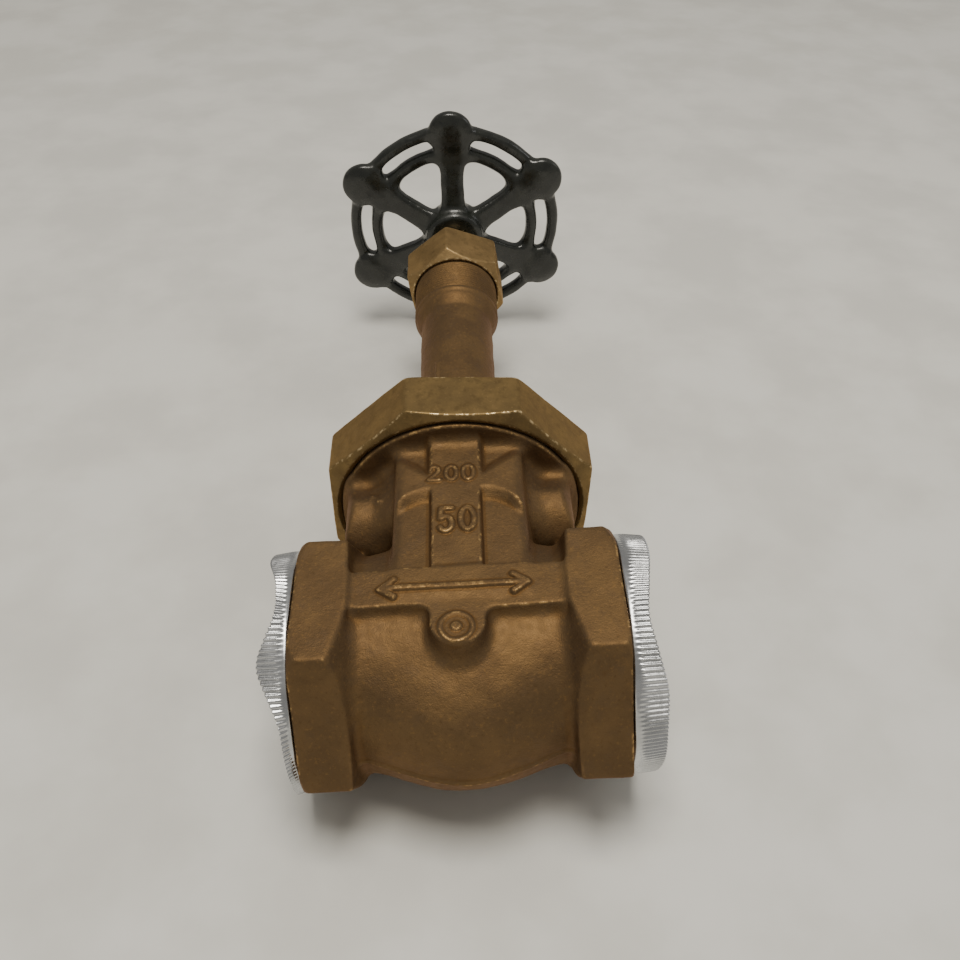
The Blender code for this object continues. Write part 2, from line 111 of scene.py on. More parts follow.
joints = {joint["name"]: joint for joint in frame["joints"]}
stem_axis = Vector(joints["handwheel_turn"]["axis"]).normalized()
flow_axis = Vector(joints["cap_right_pull"]["axis"]).normalized()
marked_axis = flow_axis.cross(stem_axis)
origin = Vector(joints["handwheel_turn"]["pos_m"]) - stem_axis * WHEEL_PLANE * MM
VALVE = Matrix((flow_axis, stem_axis, marked_axis)).transposed().to_4x4()
VALVE.translation = origin


# ---------------------------------------------------------------- distance fields

def smooth_max(a, b, k):
    """The larger of two fields, with the crease between them rounded over a width k."""
    blend = np.maximum(k - np.abs(a - b), 0) / k
    return np.maximum(a, b) + blend * blend * k / 4


def smooth_min(a, b, k):
    return -smooth_max(-a, -b, k)


def cut(solid, tool, k=0.8):
    return smooth_max(solid, -tool, k)


def slab(coordinate, low, high):
    return np.maximum(low - coordinate, coordinate - high)


def rounded_box(offsets, halves, radius):
    """offsets are distances from the box's centre along its axes."""
    edges = [np.abs(offset) - half + radius for offset, half in zip(offsets, halves)]
    outside = np.sqrt(sum(np.maximum(edge, 0) ** 2 for edge in edges))
    inside = np.minimum(np.maximum.reduce(np.broadcast_arrays(*edges)), 0)
    return outside + inside - radius


def polygon(a, b, sides, inradius, turn, k):
    """A regular prism's side walls; turn is the direction of one of its flats."""
    walls = None
    for i in range(sides // 2):
        angle = turn + i * TAU / sides
        wall = np.abs(a * math.cos(angle) + b * math.sin(angle)) - inradius
        walls = wall if walls is None else smooth_max(walls, wall, k)
    return walls


def oval_ring(radial, height, centre_r, half_width, half_height, power=2.4):
    near = (np.abs(radial - centre_r) / half_width) ** power + (np.abs(height) / half_height) ** power
    return (near ** (1 / power) - 1) * min(half_width, half_height)


def unevenness(x, s, n, reach):
    """The gentle waviness of a sand casting's skin."""
    return reach * (
        np.sin(0.23 * x + 0.11 * s + 1.3) * np.sin(0.19 * n - 0.07 * x + 0.4)
        + 0.6 * np.sin(0.47 * s + 0.21 * n) * np.sin(0.41 * x + 0.31 * n + 2.1)
        + 0.2 * np.sin(0.93 * x - 0.67 * s + 0.9) * np.sin(0.88 * n + 0.59 * s)
    )


# ---------------------------------------------------------------- meshing

CORNERS = np.array([(i, j, k) for i in (0, 1) for j in (0, 1) for k in (0, 1)])
CELL_EDGES = [(a, b) for a in range(8) for b in range(a + 1, 8) if np.abs(CORNERS[a] - CORNERS[b]).sum() == 1]


def sample_grid(field, axes):
    """Field values on a grid, worked out a few layers at a time to hold memory down."""
    xs, ss, ns = axes
    values = np.empty((len(xs), len(ss), len(ns)), np.float32)
    for start in range(0, len(xs), 12):
        layers = slice(start, start + 12)
        values[layers] = field(xs[layers, None, None], ss[None, :, None], ns[None, None, :])
    return values


def gradient_at(field, points, step):
    slopes = []
    for axis in range(3):
        ahead, behind = points.copy(), points.copy()
        ahead[:, axis] += step
        behind[:, axis] -= step
        slopes.append((field(*ahead.T) - field(*behind.T)) / (2 * step))
    return np.stack(slopes, 1)


def settle(field, points, reach, rounds=3):
    """Moves points onto the field's zero surface, none of them further than reach."""
    start = points.copy()
    for _ in range(rounds):
        slope = gradient_at(field, points, 0.04)
        square = np.maximum((slope ** 2).sum(1), 0.05)
        points = points - slope * (field(*points.T) / square)[:, None]
        moved = points - start
        far = np.linalg.norm(moved, axis=1)
        points = start + moved * np.minimum(1, reach / np.maximum(far, 1e-9))[:, None]
    return points


def surface_net(field, low, high, cell):
    """Vertices and quads of a field's zero surface inside a box."""
    axes = [np.arange(a - cell, b + 2 * cell, cell) for a, b in zip(low, high)]
    values = sample_grid(field, axes)
    inside = values < 0
    shape = np.array(values.shape)
    count = sum(
        inside[i:shape[0] - 1 + i, j:shape[1] - 1 + j, k:shape[2] - 1 + k].astype(np.uint8)
        for i, j, k in CORNERS
    )
    cells = np.argwhere((count > 0) & (count < 8))
    number = np.full(shape - 1, -1, np.int64)
    number[tuple(cells.T)] = np.arange(len(cells))
    corner_values = np.stack([values[tuple((cells + c).T)] for c in CORNERS], 1)
    total = np.zeros((len(cells), 3))
    crossings = np.zeros(len(cells))
    for a, b in CELL_EDGES:
        va, vb = corner_values[:, a], corner_values[:, b]
        crosses = (va < 0) != (vb < 0)
        share = np.where(crosses, va / np.where(crosses, va - vb, 1), 0)[:, None]
        total += np.where(crosses[:, None], CORNERS[a] + share * (CORNERS[b] - CORNERS[a]), 0)
        crossings += crosses
    start = np.array([axis[0] for axis in axes])
    points = start + (cells + total / crossings[:, None]) * cell

    quads = []
    for axis in range(3):
        one, two = (axis + 1) % 3, (axis + 2) % 3
        step = np.eye(3, dtype=int)
        here = inside[tuple(slice(0, -1) if a == axis else slice(None) for a in range(3))]
        there = inside[tuple(slice(1, None) if a == axis else slice(None) for a in range(3))]
        edges = np.argwhere(here != there)
        keep = ((edges[:, [one, two]] > 0) & (edges[:, [one, two]] < shape[[one, two]] - 1)).all(1)
        edges = edges[keep]
        ring = [edges - step[one] - step[two], edges - step[two], edges, edges - step[one]]
        quad = np.stack([number[tuple(r.T)] for r in ring], 1)
        leaving = here[tuple(edges.T)]
        quads.append(np.where(leaving[:, None], quad, quad[:, ::-1]))
    return points, np.concatenate(quads)


def mesh_from_arrays(name, points, faces):
    mesh = bpy.data.meshes.new(name)
    mesh.vertices.add(len(points))
    mesh.vertices.foreach_set("co", np.asarray(points, np.float32).ravel())
    sides = faces.shape[1]
    mesh.loops.add(faces.size)
    mesh.loops.foreach_set("vertex_index", faces.astype(np.int32).ravel())
    mesh.polygons.add(len(faces))
    mesh.polygons.foreach_set("loop_start", np.arange(0, faces.size, sides, dtype=np.int32))
    mesh.update(calc_edges=True)
    mesh.validate()
    return mesh


def read_points(mesh):
    points = np.empty(len(mesh.vertices) * 3, np.float32)
    mesh.vertices.foreach_get("co", points)
    return points.reshape(-1, 3).astype(np.float64)


def refine(mesh, wanted):
    """Halves the edges whose both ends are wanted."""
    bm = bmesh.new()
    bm.from_mesh(mesh)
    bm.verts.ensure_lookup_table()
    edges = [e for e in bm.edges if wanted[e.verts[0].index] and wanted[e.verts[1].index]]
    bmesh.ops.subdivide_edges(bm, edges=edges, cuts=1, use_grid_fill=True)
    bm.to_mesh(mesh)
    bm.free()


def bend(field, points, reach=0.9):
    """How far the surface bends at each point: positive on outside edges, negative in creases."""
    rise = -6 * field(*points.T)
    for axis in range(3):
        for side in (-reach, reach):
            moved = points.copy()
            moved[:, axis] += side
            rise = rise + field(*moved.T)
    return rise / reach


def finish_piece(name, mesh, body, material, replaced, edge=None):
    """Takes a mesh in valve millimetres to the model's frame and hangs it on its CAD body."""
    if edge is not None:
        # Stores each point's bend; the materials use it for painted shade in creases and painted highlights on
        # edges, besides wear and chips.
        bend_layer = mesh.attributes.new("edge", "FLOAT", "POINT")
        bend_layer.data.foreach_set("value", np.clip(edge, -1, 1).astype(np.float32))
    mesh.transform(VALVE @ Matrix.Diagonal((MM, MM, MM, 1)))
    for polygon in mesh.polygons:
        polygon.use_smooth = True
    mesh.materials.append(material)
    piece = bpy.data.objects.new(name, mesh)
    bpy.context.scene.collection.objects.link(piece)
    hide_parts(*replaced)
    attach(piece, body)
    return piece


def field_piece(name, field, low, high, cell, body, material, replaced, fine=None, sharp=0.25):
    """Meshes a field, refines it where it bends sharply or where fine(points) says, and finishes it."""
    cell = cell * COARSE
    points, quads = surface_net(field, low, high, cell)
    points = settle(field, points, 0.9 * cell)
    mesh = mesh_from_arrays(name, points, quads)
    points = read_points(mesh)
    wanted = np.abs(bend(field, points)) > sharp
    if fine is not None:
        wanted |= fine(*points.T)
    refine(mesh, wanted)
    points = settle(field, read_points(mesh), 0.6 * cell)
    mesh.vertices.foreach_set("co", points.astype(np.float32).ravel())
    mesh.update()
    return finish_piece(name, mesh, body, material, replaced, edge=bend(field, read_points(mesh)))


def rounded_outline(corners, spacing=1.0):
    """A closed outline through (radius, height, corner rounding) points, walked at even spacing."""
    places = [np.array(corner[:2], float) for corner in corners]
    path = []
    for i, (corner, spec) in enumerate(zip(places, corners)):
        rounding = spec[2] if len(spec) > 2 else 0.3
        before, after = places[i - 1], places[(i + 1) % len(places)]
        to_before, to_after = before - corner, after - corner
        long_before, long_after = np.linalg.norm(to_before), np.linalg.norm(to_after)
        to_before, to_after = to_before / long_before, to_after / long_after
        half_angle = math.acos(np.clip(to_before @ to_after, -1, 1)) / 2
        trim = min(rounding / math.tan(half_angle), 0.48 * long_before, 0.48 * long_after)
        steps = max(3, math.ceil(trim / spacing * 2)) if trim > 0.02 else 1
        start, end = corner + to_before * trim, corner + to_after * trim
        for t in np.linspace(0, 1, steps + 1):
            path.append((1 - t) ** 2 * start + 2 * t * (1 - t) * corner + t ** 2 * end)
    walked = []
    for a, b in zip(path, path[1:] + path[:1]):
        pieces = max(1, math.ceil(np.linalg.norm(b - a) / spacing))
        walked += [a + (b - a) * i / pieces for i in range(pieces)]
    return np.array(walked)


def lathe(outline, columns, axis="stem", shape=None, side=1):
    """A closed outline of (radius, height) turned about the stem or the flow axis.

    shape(angle, radius, height) may return other radii and heights, for threads, flats and pleats.
    """
    radius = np.repeat(outline[:, :1], columns, 1)
    height = np.repeat(outline[:, 1:], columns, 1)
    angle = np.repeat((np.arange(columns) * TAU / columns)[None, :], len(outline), 0)
    if shape is not None:
        radius, height = shape(angle, radius, height)
    across, up = radius * np.cos(angle), radius * np.sin(angle)
    if axis == "stem":
        points = np.stack([across, height, up], 2)
    else:
        points = np.stack([side * height, -across, up], 2)
    rows = len(outline)
    i = np.arange(rows)[:, None] * columns
    below = (np.arange(rows)[:, None] + 1) % rows * columns
    j = np.arange(columns)[None, :]
    right = (j + 1) % columns
    quads = np.stack([i + j, below + j, below + right, i + right], 2).reshape(-1, 4)
    points = points.reshape(-1, 3)
    corners = points[quads]
    volume = np.einsum("ij,ij->i", corners[:, 0], np.cross(corners[:, 1], corners[:, 2])).sum()
    volume += np.einsum("ij,ij->i", corners[:, 0], np.cross(corners[:, 2], corners[:, 3])).sum()
    return points, quads if volume > 0 else quads[:, ::-1]


def lathe_piece(name, outline, columns, body, material, replaced, axis="stem", shape=None, side=1):
    points, quads = lathe(outline, columns, axis, shape, side)
    return finish_piece(name, mesh_from_arrays(name, points, quads), body, material, replaced)


# ---------------------------------------------------------------- raised marks

def arc(centre, radii, start, end, steps=10):
    """Points along an oval arc, angles in degrees from +x towards +y."""
    angles = np.radians(np.linspace(start, end, steps + 1))
    return [(centre[0] + radii[0] * math.cos(a), centre[1] + radii[1] * math.sin(a)) for a in angles]


DIGITS = {  # strokes in a box one unit wide and one unit high
    "0": [arc((0.5, 0.5), (0.42, 0.48), 0, 360, 16)],
    "2": [arc((0.48, 0.72), (0.36, 0.26), 165, -40, 10) + [(0.1, 0.03), (0.92, 0.03)]],
    "5": [[(0.85, 0.98), (0.2, 0.98), (0.14, 0.55)] + arc((0.46, 0.31), (0.38, 0.3), 130, -150, 12)],
}


def raised_number(text, centre, size, pitch):
    """Stroke segments of a number; size is one digit's width and height."""
    strokes = []
    start = centre[0] - pitch * (len(text) - 1) / 2 - size[0] / 2
    for i, digit in enumerate(text):
        for line in DIGITS[digit]:
            placed = [(start + i * pitch + px * size[0], centre[1] + (py - 0.5) * size[1]) for px, py in line]
            strokes += list(zip(placed, placed[1:]))
    return strokes


def raised_arrow(centre, half_length, half_height):
    """A double-headed arrow along the flow: this valve may be fitted either way round."""
    cx, cy = centre
    strokes = [((cx - half_length, cy), (cx + half_length, cy))]
    for side in (-1, 1):
        tip = (cx + side * half_length, cy)
        back = cx + side * (half_length - 1.4 * half_height)
        strokes += [(tip, (back, cy + half_height)), (tip, (back, cy - half_height))]
    return strokes


def stroke_distance(x, s, strokes):
    nearest = None
    for (ax, ay), (bx, by) in strokes:
        length = (bx - ax) ** 2 + (by - ay) ** 2
        along = np.clip(((x - ax) * (bx - ax) + (s - ay) * (by - ay)) / length, 0, 1)
        gap = (x - ax - along * (bx - ax)) ** 2 + (s - ay - along * (by - ay)) ** 2
        nearest = gap if nearest is None else np.minimum(nearest, gap)
    return np.sqrt(nearest)


def ramp(value, low, high):
    """0 below low, 1 above high, with an even bend between."""
    t = np.clip((value - low) / (high - low), 0, 1)
    return t * t * (3 - 2 * t)


CLASS_MARK = raised_number("200", (-1.2, 46.4), (4.0, 6.0), 5.3)
SIZE_MARK = raised_number("50", (0.3, 27.2), (4.9, 9.0), 6.4)
FLOW_MARK = raised_arrow((-1.0, 2.2), 21.0, 2.9)


def face_marks(x, s):
    """Height of the cast marks above the face, as seen from the side they stand on."""
    number = ramp(0.62 - stroke_distance(x, s, CLASS_MARK), -0.45, 0.3) * 0.62
    size = ramp(0.8 - stroke_distance(x, s, SIZE_MARK), -0.5, 0.35) * 0.8
    arrow = ramp(0.85 - stroke_distance(x, s, FLOW_MARK), -0.5, 0.35) * 0.8
    from_boss = np.sqrt((x + 0.4) ** 2 + (s - BOSS_CENTRE) ** 2)
    boss = 0.5 * ramp(BOSS_R - from_boss, -0.3, 0.5) - 0.35 * ramp(BOSS_R - 1.3 - from_boss, -0.3, 0.5)
    dot = 0.5 * ramp(1.6 - from_boss, -0.3, 0.5)
    return number + size + arrow + boss + dot


# ---------------------------------------------------------------- body casting

def marked_face(x, s):
    """Height of the flat face that carries the marks, with two pairs of hollows beside its middle strip."""
    side = np.abs(x)
    top_line = 41.2 - 0.05 * (side - STRIP_HALF_WIDTH - 1.4) ** 2
    low_pocket = (
        2.6 * ramp(side, STRIP_HALF_WIDTH, STRIP_HALF_WIDTH + 1.2) * ramp(s, 9.0, 10.6)
        * ramp(top_line - s, 0.0, 5.0)
    )
    rise = s - 0.7 * np.abs(side - 8.5)
    high_pocket = 2.9 * ramp(side, STRIP_HALF_WIDTH + 0.2, STRIP_HALF_WIDTH + 2.4) * ramp(rise, 44.5, 51.5)
    return FACE_HEIGHT - low_pocket - high_pocket


def belly_field(x, s, n):
    """The flow tube, with the belly bulging from it on the side away from the stem."""
    ax = np.abs(x)
    tube = np.maximum(np.hypot(s, n) - FLOW_TUBE_R, ax - 36)
    arch = np.cos(np.clip(x / BELLY_REACH, -1, 1) * math.pi / 2) ** 1.3
    crest = BELLY_CREST * arch
    depth = np.where(s < crest, crest + TUBE_DEPTH + (BELLY_DEPTH - TUBE_DEPTH) * arch, BELLY_TOP_DEPTH)
    belly = (np.hypot((s - crest) / depth, n / BELLY_R) - 1) * 31
    belly = smooth_max(belly, ax - 35, 2.0)
    parting = 0.6 * np.exp(-(n / 0.9) ** 2) * ramp(-s, 6, 16)
    return smooth_min(tube, belly - parting, 2.0)


def hexagon_ends(x, s, n):
    ax, an = np.abs(x), np.abs(n)
    flow_r = np.hypot(s, n)
    end = ax - END_FACE
    ends = smooth_max(polygon(s, n, 6, HEX_INRADIUS, math.pi / 2, 0.8), end, 0.8)
    tilted_r = np.hypot(s + np.where(x > 0, 1.8, 0.3), n)  # the corners are turned off a little askew
    ends = smooth_max(ends, (tilted_r - 38.6 + end) * 0.707, 0.7)
    dressed = 0.12 + 0.5 * ramp(-s, 0, 14) * ramp(an, 8, 22)
    inner_edge = END_FACE - HEX_DEPTH + dressed * np.maximum(flow_r - 34, -6)
    return smooth_max(ends, (inner_edge - ax) * 0.9, 1.2)


def neck_field(x, s, n):
    """The round neck with its two side wings, the flat face for the marks, and the collar."""
    ax, an = np.abs(x), np.abs(n)
    stem_r = np.hypot(x, n)
    core = np.maximum(stem_r - NECK_R, s - 66)
    core = np.maximum(core, np.hypot(np.maximum(stem_r - NECK_R + 7, 0), np.maximum(43 - s, 0)) - 7)

    side_r, plan_r = 15.0, 7.2
    side_an, side_s = np.maximum(an - WING_HALF_THICKNESS + side_r, 0), np.maximum(50 - s, 0)
    wing_side = np.hypot(side_an, side_s) - side_r + 3.0 * ramp(s, 48, 57)
    wing_plan = np.hypot(np.maximum(ax - WING_REACH + plan_r, 0), np.maximum(41 - s, 0)) - plan_r
    wing = smooth_max(smooth_max(wing_side, wing_plan, 2.4), slab(s, WING_FOOT, 66), 1.0)
    wing = smooth_max(wing, stem_r - COLLAR_R + 0.8, 1.5)
    neck = smooth_min(core, wing, 3.0)

    past_edge = np.abs(x - FACE_MIDDLE) - FACE_HALF_WIDTH - 0.12 * np.maximum(FACE_HEIGHT - an, 0)
    face = smooth_max(slab(s, FACE_LOW, FACE_HIGH), past_edge, 2.0)
    face = smooth_max(face, an - marked_face(x, s), 3.6)
    neck = smooth_min(neck, face, 1.6)
    collar = smooth_max(stem_r - COLLAR_R, slab(s, COLLAR_FRONT, BODY_TOP), 1.0)
    neck = smooth_min(neck, collar, 4.5)
    return np.maximum(neck, slab(s, -10, BODY_TOP))


def band_field(x, s, n):
    """The raised band across the body, and the round-ended tongue that hangs from it."""
    ax, an = np.abs(x), np.abs(n)
    low_line = BAND_LOW - 0.045 * x - 0.5 * np.sin(0.16 * x)
    tongue_top = TONGUE_END + TONGUE_R
    tongue_end = np.hypot(x, np.minimum(s - tongue_top, 0) * 1.05) - TONGUE_R
    tongue = np.maximum(np.where(s < tongue_top, tongue_end, ax - TONGUE_R), s - 2)
    band = smooth_max(slab(s, low_line, BAND_HIGH + 0.03 * ax), ax - BAND_HALF_WIDTH, 2.6)
    plan = smooth_min(band, tongue, 4.0)
    band = smooth_max(plan - 0.22 * np.maximum(FACE_HEIGHT - an, 0), an - FACE_HEIGHT, 0.8)
    return np.maximum(band, 20 - an)


FLAWS = [  # small lumps in the casting: place along x and s, height, spread
    (-25.5, 47.5, 0.7, 1.6), (-28.0, 51.0, 0.55, 1.1), (36.3, -24.6, 0.4, 2.2), (38.7, -23.4, 0.4, 0.7),
]


def body_outside(x, s, n):
    solid = smooth_min(belly_field(x, s, n), hexagon_ends(x, s, n), 2.6)
    solid = smooth_min(solid, neck_field(x, s, n), 2.0)
    solid = smooth_min(solid, band_field(x, s, n), 2.4)

    marks = np.where(n > 0, face_marks(x, s), face_marks(-x, s)) * ramp(np.abs(n), 30.5, 32.5)
    lumps = [rise * np.exp(-((x - fx) ** 2 + (s - fs) ** 2) / spread) for fx, fs, rise, spread in FLAWS]
    machined = ramp(np.abs(x), END_FACE - 3.5, END_FACE - 1.5) + ramp(s, 60, 63)
    cast_skin = unevenness(x, s, n, 0.11) * (1 - np.minimum(machined, 1))
    return solid - marks - sum(lumps) * (n > 0) + cast_skin


def body_hollow(x, s, n):
    ax, an = np.abs(x), np.abs(n)
    flow_r, stem_r = np.hypot(s, n), np.hypot(x, n)
    turn = np.arctan2(s, n) / TAU
    thread = np.abs((x / PIPE_PITCH - turn) % 1 - 0.5) * 4 - 1
    thread_r = PORT_R - (END_FACE - ax) / 32
    fade = ramp(ax, END_FACE - SOCKET_DEPTH + 1, END_FACE - SOCKET_DEPTH + 3)
    port = np.maximum(flow_r - thread_r - 0.45 * thread * fade, END_FACE - SOCKET_DEPTH - ax)
    entry = (flow_r - PORT_R - 2.2 + (END_FACE - ax)) * 0.707
    socket = np.maximum(flow_r - SOCKET_R, ax - END_FACE + SOCKET_DEPTH - 0.5)
    socket = np.maximum(socket, 4 - ax)
    floor = smooth_max(flow_r - 29.6, ax - 13.3, 1.0)
    chamber = rounded_box((x, s - 29, n), (14.2, 27.5, 29.0), 2.0)
    guide = rounded_box((ax - 5.2, s - 26, an - 29.5), (1.4, 24.0, 1.9), 0.6)
    chamber = np.maximum(chamber, -guide)
    bore = np.maximum(stem_r - 30.0, 51.3 - s)
    flow_way = np.maximum(flow_r - BORE_R, ax - 30)
    hollow = np.minimum(np.minimum(port, entry), np.minimum(socket, floor))
    return np.minimum(hollow, np.minimum(np.minimum(chamber, bore), flow_way))


def body_field(x, s, n):
    return cut(body_outside(x, s, n), body_hollow(x, s, n), 0.5)


# ---------------------------------------------------------------- union ring and packing nut

def ring_field(x, s, n):
    stem_r = np.hypot(x, n)
    octagon = polygon(x, n, 8, RING_FLATS / 2, math.pi / 2 + RING_TURN, 0.8)
    past_bore = stem_r - RING_BORE_R
    ring = smooth_max(octagon, s - RING_BACK, 0.6)
    ring = smooth_max(ring, (RING_FRONT + 0.45 * (past_bore - 0.8) - s) * 0.91, 0.5)  # coned front
    ring = smooth_max(ring, (2.4 - past_bore - 1.85 * (s - RING_FRONT)) * 0.475, 0.3)  # bevel at the bore
    ring = smooth_max(ring, (stem_r - 47.5 + (s - RING_BACK) * 1.6) * 0.53, 0.6)  # turned back corners
    bore = np.minimum(
        np.maximum(stem_r - RING_BORE_R, s - RING_LIP), np.maximum(stem_r - RING_LIP_R, RING_FRONT - 1 - s)
    )
    opening = (past_bore - 0.6 + (s - RING_FRONT)) * 0.707
    ring = cut(ring, np.minimum(bore, opening), 0.6)
    return ring + unevenness(x, s, n, 0.06)


def packing_nut_field(x, s, n):
    stem_r = np.hypot(x, n)
    hexagon = polygon(x, n, 6, NUT_FLATS / 2, math.pi / 2 + NUT_TURN - math.pi / 6, 0.8)
    nut = smooth_max(hexagon, slab(s, NUT_FRONT, NUT_BACK), 0.8)
    nut = smooth_max(nut, (stem_r - 18.6 - (s - NUT_FRONT) * 1.0) * 0.707, 0.5)
    nut = smooth_max(nut, (stem_r - 21.4 + (s - NUT_BACK) * 1.7) * 0.51, 0.5)
    bore = np.maximum(stem_r - STUFFING_THREAD_R - 0.3, s - NUT_ROOF)
    entry = (stem_r - STUFFING_THREAD_R - 0.9 + (s - NUT_FRONT)) * 0.707
    hole = stem_r - 9.7
    nut = cut(nut, np.minimum(np.minimum(bore, entry), hole), 0.4)
    return nut + unevenness(x * 1.4, s, n * 1.4, 0.05)


# ---------------------------------------------------------------- handwheel

def handwheel_field(x, s, n):
    reach, height = np.hypot(x, n), s - WHEEL_PLANE
    spread = TAU / LOBES
    angle = np.arctan2(n, x) - math.pi / 2 - WHEEL_TURN
    folded = angle - np.round(angle / spread) * spread
    along, across = reach * np.cos(folded), reach * np.sin(folded)

    rim = oval_ring(reach, height, RIM_R, 2.6, 2.8)
    inner = oval_ring(reach, height + 0.2, INNER_RING_R, 2.7, 3.0)
    from_lobe = np.hypot(along - LOBE_CIRCLE_R, across)
    lobe_height = height + LOBE_SINK
    lobe = rounded_box((from_lobe, lobe_height), (LOBE_R, LOBE_HALF_HEIGHT), 1.9)
    lobe = smooth_max(lobe, (np.hypot(from_lobe, np.abs(lobe_height) + 14) - 18.4) * 0.9, 1.0)
    web = rounded_box((along - 41.5, across, height), (6.5, 4.6, 2.2), 1.8)

    slope = (WHEEL_PLANE - HUB_MIDDLE) / 36.0
    sink = np.clip(43.0 - along, 0, 36.0) * slope
    below = (height + sink) * math.cos(math.atan(slope))
    flare = 1.6 * ramp(along, 27, 37) + 0.8 * ramp(-along, -18, -12)
    arm = (np.abs(across) / (ARM_HALF_WIDTH + flare)) ** 3.6 + (np.abs(below) / ARM_HALF_HEIGHT) ** 3.6
    arm = (arm ** (1 / 3.6) - 1) * ARM_HALF_HEIGHT
    arm = np.maximum(np.maximum(arm, along - 46), 4 - along)

    taper = 0.12 * np.maximum(HUB_MIDDLE + 1 - s, 0)
    hub = smooth_max(reach - HUB_R + taper, slab(s, HUB_LOW, HUB_HIGH), 3.0)
    wheel = smooth_min(smooth_min(rim, inner, 0.8), web, 3.0)
    wheel = smooth_min(smooth_min(wheel, arm, 3.4), smooth_min(lobe, hub, 0.5), 2.2)
    square = np.maximum(np.abs(x), np.abs(n)) - SQUARE / 2 - 0.25
    return cut(wheel, square, 0.5) + unevenness(x, s, n, 0.11)


# ---------------------------------------------------------------- wedge and wheel nut

def wedge_field(x, s, n):
    s = s - LIFT
    ax, an = np.abs(x), np.abs(n)
    thickness = SEAT_FACE - 0.3 + s * WEDGE_SLOPE
    flow_r = np.hypot(s, n)
    disc = smooth_max(flow_r - DISC_R, (ax - thickness) * 0.996, 0.7)
    hollow = smooth_max(flow_r - 17.5, (thickness - 1.6 - ax) * 0.996, 1.5)
    disc = cut(disc, np.maximum(hollow, s - 12), 1.5)
    guides = rounded_box((x, s - 5, n), (GUIDE_HALF_WIDTH, 10.0, GUIDE_REACH), 0.8)
    boss = smooth_max(np.hypot(x, n) - WEDGE_BOSS_R, slab(s, 14, WEDGE_BOSS_TOP), 1.0)
    wedge = smooth_min(smooth_min(disc, guides, 1.5), boss, 2.0)
    head = np.maximum(slab(s, T_HEAD_LOW - 0.4, T_HEAD_HIGH + 0.4), an - T_HEAD_R - 0.4)
    neck = np.maximum(T_HEAD_HIGH - s, an - T_NECK_R - 0.4)
    return cut(wedge, np.minimum(head, neck), 0.5)


def wheel_nut_field(x, s, n):
    reach = np.hypot(x, n)
    walls = polygon(x, n, 6, 7.15, math.radians(11), 0.4)
    nut = smooth_max(walls, slab(s, NUT_LOW, NUT_HIGH), 0.4)
    nut = smooth_max(nut, (reach - 7.3 + (s - NUT_HIGH) * 1.7) * 0.51, 0.3)
    nut = smooth_max(nut, (reach - 7.6 - (s - NUT_LOW) * 1.7) * 0.51, 0.3)
    bore = np.minimum(reach - 4.9, (reach - 5.7 + (NUT_HIGH - s)) * 0.707)
    return cut(nut, bore, 0.3)


# ---------------------------------------------------------------- materials

